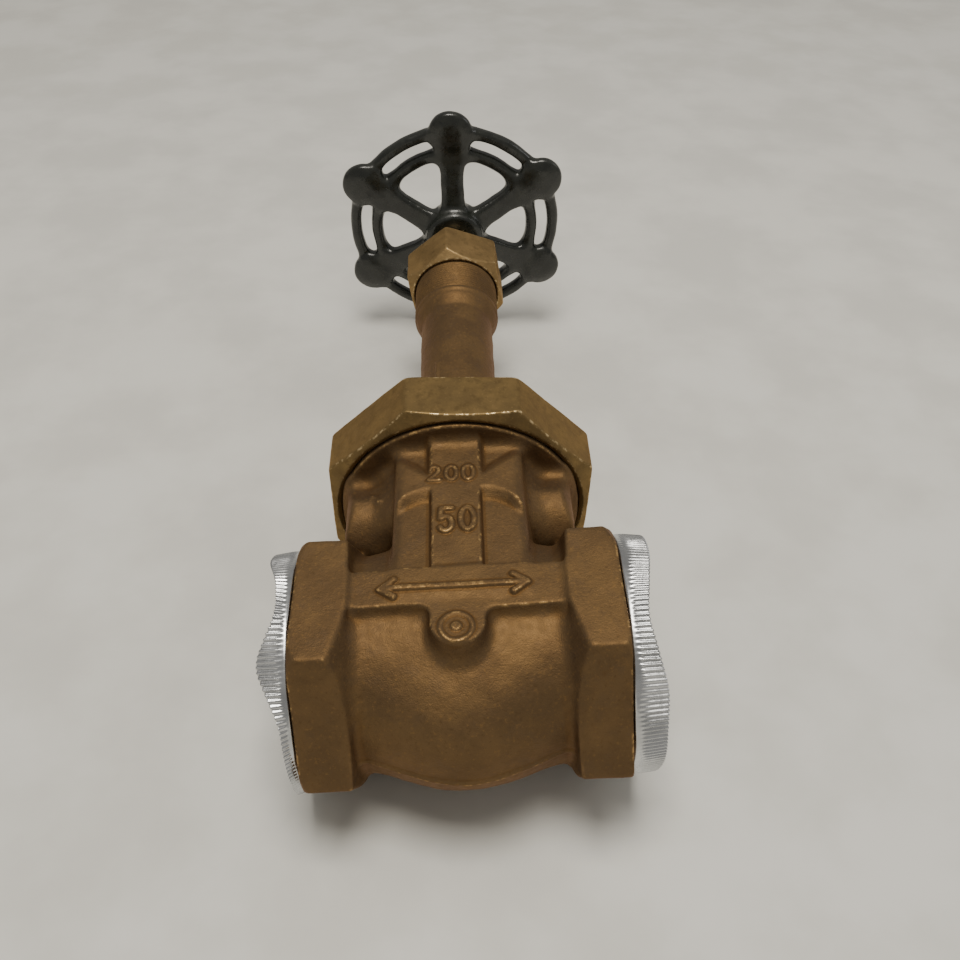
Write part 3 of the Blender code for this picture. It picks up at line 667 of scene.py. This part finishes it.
class Nodes:
    """Shorthand for building one material; coordinates are the piece's own, in millimetres."""

    def __init__(self, name):
        self.material = bpy.data.materials.new(name)
        self.material.use_nodes = True
        self.tree = self.material.node_tree
        self.tree.nodes.clear()
        self.shader = self.add("ShaderNodeBsdfPrincipled")
        output = self.add("ShaderNodeOutputMaterial")
        self.tree.links.new(self.shader.outputs["BSDF"], output.inputs["Surface"])
        place = self.add("ShaderNodeTexCoord").outputs["Object"]
        scaled = self.add("ShaderNodeVectorMath", operation="SCALE")
        self.link(place, scaled.inputs[0])
        scaled.inputs["Scale"].default_value = 1 / MM
        self.place = scaled.outputs[0]
        self.edge = self.add("ShaderNodeAttribute", attribute_name="edge").outputs["Fac"]

    def add(self, kind, **settings):
        node = self.tree.nodes.new(kind)
        for key, value in settings.items():
            setattr(node, key, value)
        return node

    def link(self, source, target):
        if not isinstance(source, (int, float, tuple)):
            self.tree.links.new(source, target)
        elif isinstance(source, tuple) and len(target.default_value) == 4:
            target.default_value = (*source, 1.0)
        else:
            target.default_value = source

    def noise(self, size, detail=3.0, roughness=0.55, stretch=None):
        """Noise from 0 to 1 whose lumps are about size millimetres across."""
        place = self.place
        if stretch is not None:
            squeezed = self.add("ShaderNodeVectorMath", operation="MULTIPLY")
            self.link(place, squeezed.inputs[0])
            squeezed.inputs[1].default_value = stretch
            place = squeezed.outputs[0]
        node = self.add("ShaderNodeTexNoise")
        self.link(place, node.inputs["Vector"])
        node.inputs["Scale"].default_value = 1 / size
        node.inputs["Detail"].default_value = detail
        node.inputs["Roughness"].default_value = roughness
        return node.outputs["Fac"]

    def math(self, operation, a, b=0.0):
        node = self.add("ShaderNodeMath", operation=operation)
        self.link(a, node.inputs[0])
        self.link(b, node.inputs[1])
        return node.outputs[0]

    def between(self, value, low, high, to_low=0.0, to_high=1.0):
        """value's low to high, spread over to_low to to_high with soft ends."""
        node = self.add("ShaderNodeMapRange", interpolation_type="SMOOTHSTEP")
        sockets = ("Value", "From Min", "From Max", "To Min", "To Max")
        for socket, number in zip(sockets, (value, low, high, to_low, to_high)):
            self.link(number, node.inputs[socket])
        return node.outputs["Result"]

    def mix(self, factor, a, b):
        node = self.add("ShaderNodeMix", data_type="RGBA")
        self.link(factor, node.inputs["Factor"])
        self.link(a, node.inputs[6])  # this node has an A, a B and a Result for every data type
        self.link(b, node.inputs[7])
        return node.outputs[2]

    def bump(self, height, depth, strength=1.0, under=None):
        node = self.add("ShaderNodeBump")
        self.link(height, node.inputs["Height"])
        node.inputs["Distance"].default_value = depth * MM
        node.inputs["Strength"].default_value = strength
        if under is not None:
            self.link(under, node.inputs["Normal"])
        return node.outputs["Normal"]

    def finish(self, colour, roughness, metallic, normal=None, **others):
        self.link(colour, self.shader.inputs["Base Color"])
        self.link(roughness, self.shader.inputs["Roughness"])
        self.link(metallic, self.shader.inputs["Metallic"])
        if normal is not None:
            self.link(normal, self.shader.inputs["Normal"])
        for socket, value in others.items():
            self.link(value, self.shader.inputs[socket.replace("_", " ")])
        return self.material


def cast_bronze():
    m = Nodes("cast_bronze")
    patches, grain, sand = m.noise(16, 4), m.noise(1.1, 3, 0.6), m.noise(0.42, 2, 0.6)
    colour = m.mix(m.between(patches, 0.38, 0.64), (0.086, 0.061, 0.037), (0.118, 0.080, 0.043))
    colour = m.mix(m.between(m.noise(5, 4), 0.5, 0.72, 0.0, 0.5), colour, (0.080, 0.061, 0.042))
    colour = m.mix(m.between(grain, 0.55, 0.75, 0.0, 0.35), colour, (0.24, 0.14, 0.052))
    colour = m.mix(m.between(grain, 0.45, 0.28, 0.0, 0.5), colour, (0.066, 0.044, 0.026))
    # Painted shade: creases, where the surface bends inward, are coloured darker.
    colour = m.mix(m.math("MULTIPLY", m.between(m.edge, -0.06, -0.5), 0.6), colour, (0.07, 0.04, 0.018))
    # Edges lightened in patches: partly rubbed wear, partly a painted highlight standing in for glints on
    # edges.
    wear_and_highlight = m.math("MULTIPLY", m.between(m.edge, 0.5, 1.1), m.between(m.noise(2.6, 4, 0.7), 0.48, 0.64))
    colour = m.mix(wear_and_highlight, colour, (0.40, 0.26, 0.11))
    rough = m.between(m.noise(2.2, 4), 0.3, 0.7, 0.47, 0.58)
    rough = m.math("SUBTRACT", rough, m.math("MULTIPLY", wear_and_highlight, 0.2))
    normal = m.bump(m.noise(3.0, 3), 0.07, 0.5)
    normal = m.bump(grain, 0.15, 0.75, normal)
    normal = m.bump(sand, 0.11, 0.8, normal)
    return m.finish(colour, rough, 0.40, normal, Specular_IOR_Level=1.0, Specular_Tint=(1.0, 0.45, 0.06))


def machined_bronze(name, dull, bright):
    m = Nodes(name)
    patches, grain = m.noise(9, 5, 0.6), m.noise(0.8, 4, 0.6)
    colour = m.mix(m.between(patches, 0.36, 0.66), dull, bright)
    colour = m.mix(m.between(m.noise(3, 5, 0.65), 0.48, 0.7, 0.0, 0.7), colour, tuple(0.78 * c for c in dull))
    colour = m.mix(m.between(grain, 0.56, 0.76, 0.0, 0.4), colour, tuple(1.7 * c for c in bright))
    # Painted shade: creases, where the surface bends inward, are coloured darker.
    colour = m.mix(m.math("MULTIPLY", m.between(m.edge, -0.06, -0.5), 0.6), colour, (0.08, 0.050, 0.022))
    # Edges lightened in patches: partly rubbed wear, partly a painted highlight standing in for glints on
    # edges.
    wear_and_highlight = m.math("MULTIPLY", m.between(m.edge, 0.45, 1.0), m.between(m.noise(2.2, 4, 0.7), 0.5, 0.62))
    colour = m.mix(wear_and_highlight, colour, (0.58, 0.44, 0.24))
    rough = m.between(m.noise(4, 4), 0.3, 0.7, 0.36, 0.5)
    rough = m.math("SUBTRACT", rough, m.math("MULTIPLY", wear_and_highlight, 0.16))
    scratches = m.noise(0.5, 2, 0.5, (1.0, 0.08, 1.0))
    normal = m.bump(scratches, 0.03, 0.6)
    normal = m.bump(grain, 0.05, 0.7, normal)
    normal = m.bump(m.noise(6, 3), 0.15, 0.5, normal)
    return m.finish(colour, rough, 0.55, normal, Specular_Tint=(1.0, 0.6, 0.2))


def turned_bronze(name, dark, light, rough_low, rough_high):
    m = Nodes(name)
    colour = m.mix(m.between(m.noise(4, 5, 0.6), 0.35, 0.68), dark, light)
    rings = m.noise(0.35, 2, 0.5, (0.25, 1.0, 0.25))
    colour = m.mix(m.between(rings, 0.5, 0.75, 0.0, 0.25), colour, tuple(min(1.0, c * 1.4) for c in light))
    rough = m.between(m.noise(2.5, 4), 0.3, 0.7, rough_low, rough_high)
    normal = m.bump(rings, 0.02, 0.7)
    return m.finish(colour, rough, 1.0, normal)


def black_enamel():
    m = Nodes("black_enamel")
    colour = m.mix(m.between(m.noise(7, 4), 0.35, 0.65), (0.009, 0.0105, 0.0085), (0.017, 0.019, 0.015))
    chips = m.math("MULTIPLY", m.between(m.edge, 0.25, 0.9), m.between(m.noise(1.6, 5, 0.7), 0.63, 0.68))
    colour = m.mix(chips, colour, (0.11, 0.10, 0.09))
    rough = m.between(m.noise(5, 5, 0.65), 0.36, 0.66, 0.2, 0.42)
    normal = m.bump(m.noise(2.4, 4), 0.22, 0.8)
    normal = m.bump(m.noise(0.8, 3), 0.05, 0.7, normal)
    return m.finish(colour, rough, 0.0, normal, Coat_Weight=0.2, Coat_Roughness=0.14)


def pressed_aluminium():
    m = Nodes("pressed_aluminium")
    colour = m.mix(m.between(m.noise(10, 4), 0.35, 0.65), (0.50, 0.51, 0.52), (0.64, 0.65, 0.66))
    colour = m.mix(m.between(m.noise(1.5, 5, 0.7), 0.6, 0.75, 0.0, 0.4), colour, (0.36, 0.365, 0.37))
    rough = m.between(m.noise(4, 5, 0.6), 0.3, 0.7, 0.2, 0.34)
    normal = m.bump(m.noise(0.5, 2, 0.5, (0.12, 1.0, 1.0)), 0.02, 0.6)
    normal = m.bump(m.noise(5, 3), 0.25, 0.5, normal)
    return m.finish(colour, rough, 1.0, normal)


def packing_braid():
    m = Nodes("packing")
    strands = m.noise(0.7, 2, 0.5, (1.0, 0.5, 1.0))
    colour = m.mix(m.between(strands, 0.4, 0.65), (0.025, 0.025, 0.026), (0.10, 0.10, 0.105))
    return m.finish(colour, m.between(m.noise(2), 0.3, 0.7, 0.5, 0.75), 0.1, m.bump(strands, 0.2))


def gasket_fibre():
    m = Nodes("gasket")
    fibres = m.noise(0.6, 5, 0.7)
    colour = m.mix(m.between(fibres, 0.4, 0.65), (0.09, 0.10, 0.095), (0.17, 0.18, 0.17))
    return m.finish(colour, m.between(m.noise(3), 0.3, 0.7, 0.7, 0.88), 0.0, m.bump(fibres, 0.05))


def plated_steel():
    m = Nodes("plated_steel")
    colour = m.mix(m.between(m.noise(2.5, 5, 0.6), 0.35, 0.68), (0.46, 0.46, 0.44), (0.62, 0.61, 0.57))
    spots = m.between(m.noise(1.1, 5, 0.7), 0.64, 0.72, 0.0, 0.7)
    colour = m.mix(spots, colour, (0.30, 0.20, 0.12))
    rough = m.between(m.noise(1.5, 4), 0.3, 0.7, 0.28, 0.46)
    return m.finish(colour, rough, 1.0, m.bump(m.noise(0.5, 3), 0.03, 0.7))


CAST = cast_bronze()
RING_BRONZE = machined_bronze("ring_bronze", (0.155, 0.106, 0.048), (0.210, 0.142, 0.060))
NUT_BRONZE = machined_bronze("nut_bronze", (0.215, 0.145, 0.067), (0.285, 0.190, 0.086))
SEAT = turned_bronze("seat_bronze", (0.34, 0.22, 0.09), (0.52, 0.36, 0.17), 0.26, 0.4)
STEM = turned_bronze("stem_bronze", (0.40, 0.28, 0.13), (0.60, 0.44, 0.23), 0.2, 0.34)
ENAMEL = black_enamel()
ALUMINIUM = pressed_aluminium()
PACKING = packing_braid()
GASKET = gasket_fibre()
ZINC = plated_steel()

# ---------------------------------------------------------------- cast and forged pieces

field_piece("Body_casting", body_field, (-48, -46, -42), (48, 72, 42), 0.72, "valve", CAST, ["body_casting"],
            fine=lambda x, s, n: (np.abs(n) > 32.2) & (np.abs(x) < 24) & (s > BOSS_CENTRE - 7) & (s < 53))
field_piece("Union_ring", ring_field, (-50, 61, -50), (50, 81, 50), 0.6, "valve", RING_BRONZE,
            ["bonnet_ring"])
field_piece("Packing_nut", packing_nut_field, (-24, 185, -24), (24, 209, 24), 0.45, "valve", NUT_BRONZE,
            ["packing_nut"])
field_piece("Handwheel", handwheel_field, (-60, 227, -60), (60, 252, 60), 0.65, "spindle", ENAMEL,
            ["handwheel"])
field_piece("Wedge", wedge_field, (-18, -10, -31), (18, 62, 31), 0.6, "gate", SEAT, ["wedge_disc"])
field_piece("Handwheel_nut", wheel_nut_field, (-10, 245, -10), (10, 254.5, 10), 0.3, "spindle", ZINC,
            ["handwheel_nut"])

# ---------------------------------------------------------------- turned pieces

FLANGE_TOP = RING_LIP - 0.3
NECK_TOP = 161.5
BONNET_OUTLINE = [
    (STUFFING_R, BONNET_TOP, 0.5), (STUFFING_THREAD_R, BONNET_TOP, 0.5),
    (STUFFING_THREAD_R, STUFFING_LOW, 0.4), (17.0, STUFFING_LOW - 0.9, 0.3), (16.7, NECK_TOP + 4.8, 1.0),
    (BONNET_NECK_R + 0.1, NECK_TOP, 1.6), (BONNET_NECK_R, 104, 6.0),
    (16.5, 97, 4.0), (22, 90.5, 3.0), (28, 86, 3.0), (RING_LIP_R - 0.5, 80.5, 1.5),
    (RING_LIP_R - 0.5, FLANGE_TOP, 0.4), (FLANGE_R, FLANGE_TOP, 0.5), (FLANGE_R, FLANGE_LOW, 0.5),
    (26, FLANGE_LOW, 0.4), (26, 75.5, 1.0), (22.5, 79.5, 1.0), (11.2, 86.5, 1.0), (11.2, 92.5, 0.4),
    (9.7, 93.5, 0.3), (9.7, 118, 0.4), (10.1, 119, 0.3), (10.1, 172, 0.4), (7.8, 173, 0.3),
    (7.8, STUFFING_FLOOR, 0.4), (STUFFING_R, STUFFING_FLOOR, 0.4),
]


def bonnet_shape(angle, radius, height):
    outer = radius > 13
    threads = outer * (radius > 16.95) * ramp(height, STUFFING_LOW + 0.6, STUFFING_LOW + 2.4)
    threads = threads * ramp(-height, -BONNET_TOP - 0.2, -BONNET_TOP + 1.0)
    wave = np.abs((height / STUFFING_PITCH + angle / TAU) % 1 - 0.5) * 2
    radius = radius - threads * 0.75 * np.clip(wave * 1.5 - 0.25, 0, 1)
    x, n = radius * np.cos(angle), radius * np.sin(angle)
    rough = outer * (height < 165) * (height > 80.2)
    radius = radius + rough * unevenness(x, height, n, 0.14)
    seam = 0.22 * np.exp(-(n / 0.8) ** 2) * rough * ramp(height, 92, 97)
    tick = 0.55 * np.exp(-((x + 7.4) / 0.65) ** 2) * ramp(height, 114, 116) * ramp(-height, -128, -125)
    blob = 0.7 * np.exp(-((x + 7.8) ** 2 + (height - 114.5) ** 2) / 1.6)
    return radius + seam + (tick + blob) * (n > 0) * outer, height


def spaced(outline, rows):
    """The outline's rows thinned: rows gives the spacing for heights above each limit."""
    kept = [outline[0]]
    for point in outline[1:]:
        gap = np.linalg.norm(point - kept[-1])
        wanted = next(spacing for limit, spacing in rows if point[1] >= limit)
        if gap >= wanted * 0.999:
            kept.append(point)
    return np.array(kept)


bonnet_outline = spaced(rounded_outline(BONNET_OUTLINE, 0.15 * COARSE),
                        [(STUFFING_LOW, 0.15 * COARSE), (0, 0.6 * COARSE)])
lathe_piece("Bonnet", bonnet_outline, 256, "valve", CAST, ["bonnet"], shape=bonnet_shape)

STEM_THREAD_LOW, STEM_THREAD_HIGH, SQUARE_LOW, SQUARE_HIGH = 43.6, 117.0, 228.5, 242.5
SHUT_STEM = [  # the lower end, as it stands when the valve is shut
    (0.02, T_HEAD_LOW, 0.0), (T_HEAD_R, T_HEAD_LOW, 0.5), (T_HEAD_R, T_HEAD_HIGH, 0.5),
    (T_NECK_R, T_HEAD_HIGH, 0.3), (T_NECK_R, 41.5, 0.6), (7.6, 42.0, 0.3),
    (STEM_THREAD_R, STEM_THREAD_LOW, 0.2), (STEM_THREAD_R, STEM_THREAD_HIGH, 0.3),
    (STEM_R, STEM_THREAD_HIGH + 1.6, 0.5),
]
STEM_OUTLINE = [(r, h + LIFT, k) for r, h, k in SHUT_STEM] + [
    (STEM_R, SQUARE_LOW - 0.4, 0.4), (SQUARE * 0.68, SQUARE_LOW, 0.1), (SQUARE * 0.68, SQUARE_HIGH, 0.1),
    (TIP_R, SQUARE_HIGH + 0.5, 0.3), (TIP_R, STEM_TIP - 0.5, 0.2), (TIP_R - 0.7, STEM_TIP, 0.2),
    (0.02, STEM_TIP, 0.0),
]


def stem_shape(angle, radius, height):
    low, high = STEM_THREAD_LOW - 0.6 + LIFT, STEM_THREAD_HIGH + 1.0 + LIFT
    threaded = (radius > 7.9) * ramp(height, low, low + 1.5) * ramp(-height, -high, -high + 2)
    wave = np.abs((height / LEAD + angle / TAU) % 1 - 0.5) * 2
    radius = radius - threaded * 2.0 * np.clip(wave * 3.2 - 1.1, 0, 1)
    squared = (height > SQUARE_LOW - 0.2) & (height < SQUARE_HIGH + 0.3) & (radius > TIP_R + 0.2)
    flat = (SQUARE / 2 - 0.02) / np.maximum(np.abs(np.cos(angle)), np.abs(np.sin(angle)))
    radius = np.where(squared, np.minimum(radius, flat), radius)
    fine = np.abs((height / 1.25 + angle / TAU) % 1 - 0.5) * 2
    tip = (height > 244.5) * (radius > TIP_R - 0.6) * ramp(-height, -STEM_TIP, -STEM_TIP + 1)
    return radius - tip * 0.5 * fine, height


stem_outline = spaced(rounded_outline(STEM_OUTLINE, 0.2 * COARSE),
                      [(243, 0.2 * COARSE), (228, 0.5 * COARSE), (139, 1.5 * COARSE), (0, 0.35 * COARSE)])
lathe_piece("Stem", stem_outline, 128, "spindle", STEM, ["stem"], shape=stem_shape)


def slanted(angle, radius, height):
    """Leans the seat ring's inner end to the wedge's slope; its outer end stays square."""
    s = -radius * np.cos(angle)
    lean = (SEAT_RING_END - height) / (SEAT_RING_END - SEAT_FACE)
    return radius, height + lean * s * WEDGE_SLOPE


SEAT_OUTLINE = [(BORE_R, SEAT_FACE, 0.5), (SEAT_RING_R, SEAT_FACE, 0.4), (SEAT_RING_R, SEAT_RING_END, 0.4),
                (BORE_R, SEAT_RING_END, 0.6)]
for side, word in ((-1, "left"), (1, "right")):
    lathe_piece(f"Seat_ring_{word}", rounded_outline(SEAT_OUTLINE, 1.0), 160, "valve", SEAT,
                [f"seat_ring_{word}"], axis="flow", shape=slanted, side=side)


def plain_ring(name, node, inner, outer, low, high, body, material, rounding=0.2, shape=None, spacing=0.5):
    corners = [(inner, low), (outer, low), (outer, high), (inner, high)]
    outline = rounded_outline([(*corner, rounding) for corner in corners], spacing)
    lathe_piece(name, outline, 128, body, material, [node], shape=shape)


def ridged(angle, radius, height):
    """A packing ring's braid, pressed into shallow ridges."""
    return radius + 0.12 * np.sin(24 * angle + height * 3), height


def beaded(angle, radius, height):
    """The plate's low raised bead just inside its rim."""
    return radius, height + 0.12 * np.exp(-((radius - 10.6) / 0.35) ** 2)


plain_ring("Bonnet_gasket", "bonnet_gasket", 30.6, 37.5, BODY_TOP + 0.3, BODY_TOP + 1.1, "valve", GASKET)
PACKING_LOW, PACKING_PITCH, PACKING_THICKNESS = 176.6, 3.7, 3.4
for ring in range(5):
    low = PACKING_LOW + PACKING_PITCH * ring
    high = low + PACKING_THICKNESS
    plain_ring(f"Packing_ring_{ring + 1}", f"packing_ring_{ring + 1}", 7.8, 11.7, low, high, "valve", PACKING,
               rounding=0.9, shape=ridged)
plain_ring("Handwheel_washer", "handwheel_washer", 4.9, 8.5, 244.4, 245.9, "spindle", ZINC, rounding=0.3)
plain_ring("Handwheel_plate", "handwheel_plate", 4.9, 12.0, 243.3, 244.1, "spindle", ALUMINIUM, shape=beaded)
GLAND_OUTLINE = [
    (14.0, 201.2, 0.4), (14.0, 199.3, 0.3), (11.7, 199.3, 0.4), (11.7, 195.1, 0.6), (7.8, 195.1, 0.6),
    (7.8, 201.2, 0.4),
]
lathe_piece("Packing_gland", rounded_outline(GLAND_OUTLINE, 0.6), 128, "valve", SEAT, ["packing_gland"])

# ---------------------------------------------------------------- pleated end protectors

CAP_HALF_SHEET = 0.22
PLEATS = 150
CAP_FLOOR, CAP_FLANGE = 41.6, END_FACE + 0.45
SKIRT_END = 56.9
RIM_REACH = {  # the bent rim's high and low places: how far out past its lowest, by angle round the flow axis
    "left": (
        (48, 10.0), (28, 9.2), (8, 4.9), (-8, 3.8), (-31, 9.8), (-57, 3.2), (-90, 3.3), (-140, 5.0), (175, 8.8),
        (100, 6.5),
    ),
    "right": (
        (45, 10.0), (18, 9.5), (-18, 5.7), (-51, 10.1), (-70, 9.7), (-95, 9.9), (-135, 7.0), (160, 9.0),
        (100, 6.5),
    ),
}
FULL_REACH, LEAST_REACH = 10.4, 3.3


def rim_reach(angle, word):
    """The rim's reach all round; angle 0 is the marked side, positive towards the stem."""
    stops = sorted((math.radians(a), reach) for a, reach in RIM_REACH[word])
    angles, reaches = [a for a, _ in stops], [reach for _, reach in stops]
    spread = np.radians(np.linspace(-5, 5, 5))
    return sum(np.interp(angle + shift, angles, reaches, period=TAU) for shift in spread) / len(spread)


def cap_outline():
    """The pressed sheet's section: flat floor, step up to the flange, and skirt, all of one thickness."""
    floor = [(radius, CAP_FLOOR) for radius in (0.02, 0.3, 1, 6, 13, 19, 24)] + [(26.0, CAP_FLOOR + 0.05)]
    rise = rounded_outline([
        (26.6, CAP_FLOOR, 0.6), (27.4, 46.6, 1.2), (28.9, CAP_FLANGE, 1.2), (35.6, CAP_FLANGE, 0.5),
        (36.0, SKIRT_END, 0.1), (26.6, 70, 0.1),
    ], 0.55 * COARSE)
    lip = int(np.argmax(rise[:, 0]))  # the rest of that outline only closes it, and is dropped
    middle = np.concatenate([np.array(floor), rise[:lip + 1]])
    apart = np.linalg.norm(np.diff(middle, axis=0), axis=1) > 0.2
    middle = middle[np.concatenate([[True], apart])]
    tangent = np.gradient(middle, axis=0)
    normal = np.stack([-tangent[:, 1], tangent[:, 0]], 1) / np.linalg.norm(tangent, axis=1, keepdims=True)
    outline = np.concatenate([middle + normal * CAP_HALF_SHEET, (middle - normal * CAP_HALF_SHEET)[::-1]])
    outline[:, 0] = np.maximum(outline[:, 0], 0.02)
    return outline


def build_cap(word, side):
    def shape(angle, radius, height):
        around = np.arctan2(-np.cos(angle), np.sin(angle))
        skirt = np.clip((height - END_FACE - 1.0) / (SKIRT_END - 1.0 - END_FACE), 0, 1)
        reach = rim_reach(around, word)
        depth = ramp(height, END_FACE + 0.9, 51.5)
        uneven = 0.75 + 0.25 * np.sin(5 * angle + 1.1) * np.sin(11 * angle)
        ripple = depth * uneven * np.sin(PLEATS * angle + 0.6 * np.sin(3 * angle))
        flare = skirt * (1.0 - 0.38 * (reach - LEAST_REACH))
        lowered = skirt * (FULL_REACH - reach + 0.2)
        return radius + 0.32 * ripple + flare, height - lowered + 0.12 * ripple

    columns = PLEATS * (8 if COARSE == 1 else 4)
    lathe_piece(f"End_protector_{word}", cap_outline(), columns, f"cap_{word}", ALUMINIUM, [f"port_cap_{word}"],
                axis="flow", shape=shape, side=side)


build_cap("left", -1)
build_cap("right", 1)

# ---------------------------------------------------------------- floor, light and camera

def build_floor():
    mesh = bpy.data.meshes.new("Floor")
    mesh.from_pydata([(-4, -4, 0), (4, -4, 0), (4, 4, 0), (-4, 4, 0)], [], [(0, 1, 2, 3)])
    m = Nodes("floor")
    colour = m.mix(m.between(m.noise(60, 4), 0.35, 0.65), (0.70, 0.69, 0.64), (0.80, 0.79, 0.74))
    mesh.materials.append(m.finish(colour, 0.55, 0.0))
    floor = bpy.data.objects.new("Floor", mesh)
    bpy.context.scene.collection.objects.link(floor)


def soft_light(name, place, target, size, watts, colour=(1, 1, 1)):
    lamp = bpy.data.lights.new(name, "AREA")
    lamp.shape, lamp.size, lamp.size_y = "RECTANGLE", *size
    lamp.energy, lamp.color = watts, colour
    item = bpy.data.objects.new(name, lamp)
    item.location = place
    item.rotation_euler = (Vector(target) - Vector(place)).to_track_quat("-Z", "Y").to_euler()
    bpy.context.scene.collection.objects.link(item)


def build_camera():
    place, target = (VALVE @ (Vector(point) * MM) for point in (CAMERA_PLACE, CAMERA_TARGET))
    forward = (target - place).normalized()
    level = forward.cross(marked_axis).normalized()
    upright = level.cross(forward)
    right = math.cos(CAMERA_ROLL) * level + math.sin(CAMERA_ROLL) * upright
    up = right.cross(forward)
    lens = bpy.data.cameras.new("Camera")
    lens.sensor_width, lens.sensor_fit = 36, "HORIZONTAL"
    lens.angle = FIELD_OF_VIEW
    lens.clip_start = 0.01
    camera = bpy.data.objects.new("Camera", lens)
    camera.matrix_world = Matrix((right, up, -forward)).transposed().to_4x4()
    camera.matrix_world.translation = place
    bpy.context.scene.collection.objects.link(camera)
    bpy.context.scene.camera = camera


build_floor()
build_camera()
soft_light("Ceiling panel", (-0.03, -0.20, 1.5), (0, -0.03, 0), (0.62, 0.60), 18, (1.0, 0.95, 0.86))
soft_light("Side panel", (1.3, 0.3, 0.8), (0, 0, 0.03), (0.5, 0.5), 1.5)
world = bpy.data.worlds.new("World")
world.use_nodes = True
world.node_tree.nodes["Background"].inputs["Color"].default_value = (0.86, 0.83, 0.78, 1)
world.node_tree.nodes["Background"].inputs["Strength"].default_value = 0.38
bpy.context.scene.world = world
